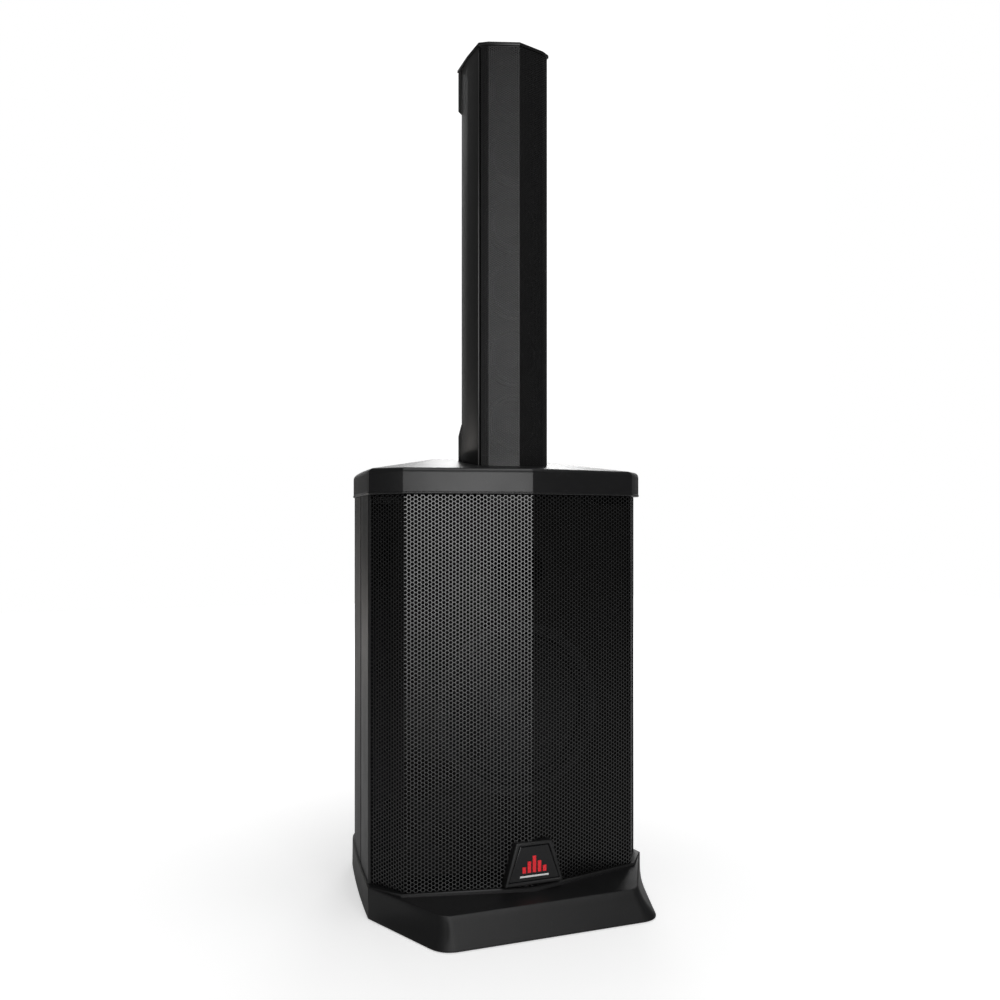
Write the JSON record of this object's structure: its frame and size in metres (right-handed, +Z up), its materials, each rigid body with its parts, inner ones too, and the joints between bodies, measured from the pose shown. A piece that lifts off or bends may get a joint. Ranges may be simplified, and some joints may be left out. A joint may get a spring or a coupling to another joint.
{
  "type": "column pa system",
  "caption": "Powered PA speaker: a subwoofer with a V-shaped grille on a flared plinth, and a slim column of small drivers that lifts out of a socket in its lid.",
  "frame": {"origin": "on the floor at the middle of the outer box", "axes": "+Z up, the grille faces -Y, the control panel faces +Y, +X is to the right seen from the front"},
  "size_m": [0.3574, 0.36, 1.03],
  "materials": {
    "cabinet_moulding": "fine moulded texture",
    "lid_moulding": "satin moulding",
    "rear_shell": "fine moulded texture",
    "column_moulding": "satin moulding",
    "grille_steel": "black powder coat, perforated",
    "column_grille": "black powder coat, perforated",
    "baffle_board": "black stained board",
    "basket_steel": "satin black",
    "surround_rubber": "matte",
    "cone_paper": "coated paper",
    "magnet_iron": "ground",
    "driver_cone": "coated paper and steel",
    "foot_rubber": "matte",
    "contact_metal": "gold flashed",
    "badge_frame": "matte",
    "badge_gloss": "polished",
    "panel_metal": "fine powder coat",
    "socket_plastic": "satin",
    "knob_rubber": "soft touch",
    "button_plastic": "gloss",
    "rocker_plastic": "gloss",
    "sink_aluminium": "black anodised",
    "led_lens": "clear lens",
    "circuit_board": "solder mask",
    "supply_case": "bare sheet",
    "screw_steel": "blackened"
  },
  "bodies": {
    "cabinet": {"base_plinth": "cabinet_moulding", "foot_pad_fl": "foot_rubber", "foot_pad_fr": "foot_rubber", "foot_pad_rl": "foot_rubber", "foot_pad_rr": "foot_rubber", "front_frame": "cabinet_moulding", "rear_shell": "rear_shell", "front_baffle": "baffle_board", "front_grille": "grille_steel", "carry_handle": "cabinet_moulding", "woofer_basket": "basket_steel", "woofer_surround": "surround_rubber", "woofer_cone": "cone_paper", "woofer_dust_cap": "cone_paper", "woofer_magnet": "magnet_iron", "reflex_port": "cabinet_moulding", "top_lid": "lid_moulding", "column_socket": "cabinet_moulding", "socket_contacts": "contact_metal", "badge_frame": "badge_frame", "badge_plate": "badge_gloss", "amp_panel": "panel_metal", "input_socket_1": "socket_plastic", "input_socket_2": "socket_plastic", "link_output_socket": "socket_plastic", "mains_inlet": "socket_plastic", "rocker_bezel": "socket_plastic", "heat_sink": "sink_aluminium", "signal_led": "led_lens", "mixer_board": "circuit_board", "amp_board": "circuit_board", "power_supply": "supply_case", "amp_module": "supply_case", "panel_screw_tl": "screw_steel", "panel_screw_tr": "screw_steel", "panel_screw_bl": "screw_steel", "panel_screw_br": "screw_steel"},
    "column": {"column_housing": "column_moulding", "column_foot": "column_moulding", "column_baffle": "column_moulding", "column_grille": "column_grille", "column_cap": "column_moulding", "column_driver_1": "driver_cone", "column_driver_2": "driver_cone", "column_driver_3": "driver_cone", "column_driver_4": "driver_cone", "column_driver_5": "driver_cone", "column_driver_6": "driver_cone", "column_spigot": "column_moulding"},
    "input_1_knob": {"input_1_knob": "knob_rubber"},
    "input_2_knob": {"input_2_knob": "knob_rubber"},
    "sub_knob": {"sub_knob": "knob_rubber"},
    "master_knob": {"master_knob": "knob_rubber"},
    "power_rocker": {"power_rocker": "rocker_plastic"},
    "stereo_link_button": {"stereo_link_button": "button_plastic"}
  },
  "joints": [
    {"name": "column_lift", "type": "slide", "parent": "cabinet", "child": "column", "axis": [0, 0, 1], "range_m": [0, 0.1]},
    {"name": "input_1_turn", "type": "hinge", "parent": "cabinet", "child": "input_1_knob", "pos_m": [0.084, 0.1603, 0.352], "axis": [0, -1, 0], "range_deg": [-150, 150]},
    {"name": "input_2_turn", "type": "hinge", "parent": "cabinet", "child": "input_2_knob", "pos_m": [0.028, 0.1603, 0.352], "axis": [0, -1, 0], "range_deg": [-150, 150]},
    {"name": "sub_turn", "type": "hinge", "parent": "cabinet", "child": "sub_knob", "pos_m": [-0.028, 0.1603, 0.352], "axis": [0, -1, 0], "range_deg": [-150, 150]},
    {"name": "master_turn", "type": "hinge", "parent": "cabinet", "child": "master_knob", "pos_m": [-0.084, 0.1603, 0.352], "axis": [0, -1, 0], "range_deg": [-150, 150]},
    {"name": "power_tilt", "type": "hinge", "parent": "cabinet", "child": "power_rocker", "pos_m": [-0.078, 0.1523, 0.148], "axis": [1, 0, 0], "range_deg": [0, 12]},
    {"name": "stereo_link_press", "type": "slide", "parent": "cabinet", "child": "stereo_link_button", "axis": [0, -1, 0], "range_m": [0, 0.002], "stiffness_N_per_m": 400, "springref_m": -0.002}
  ]
}
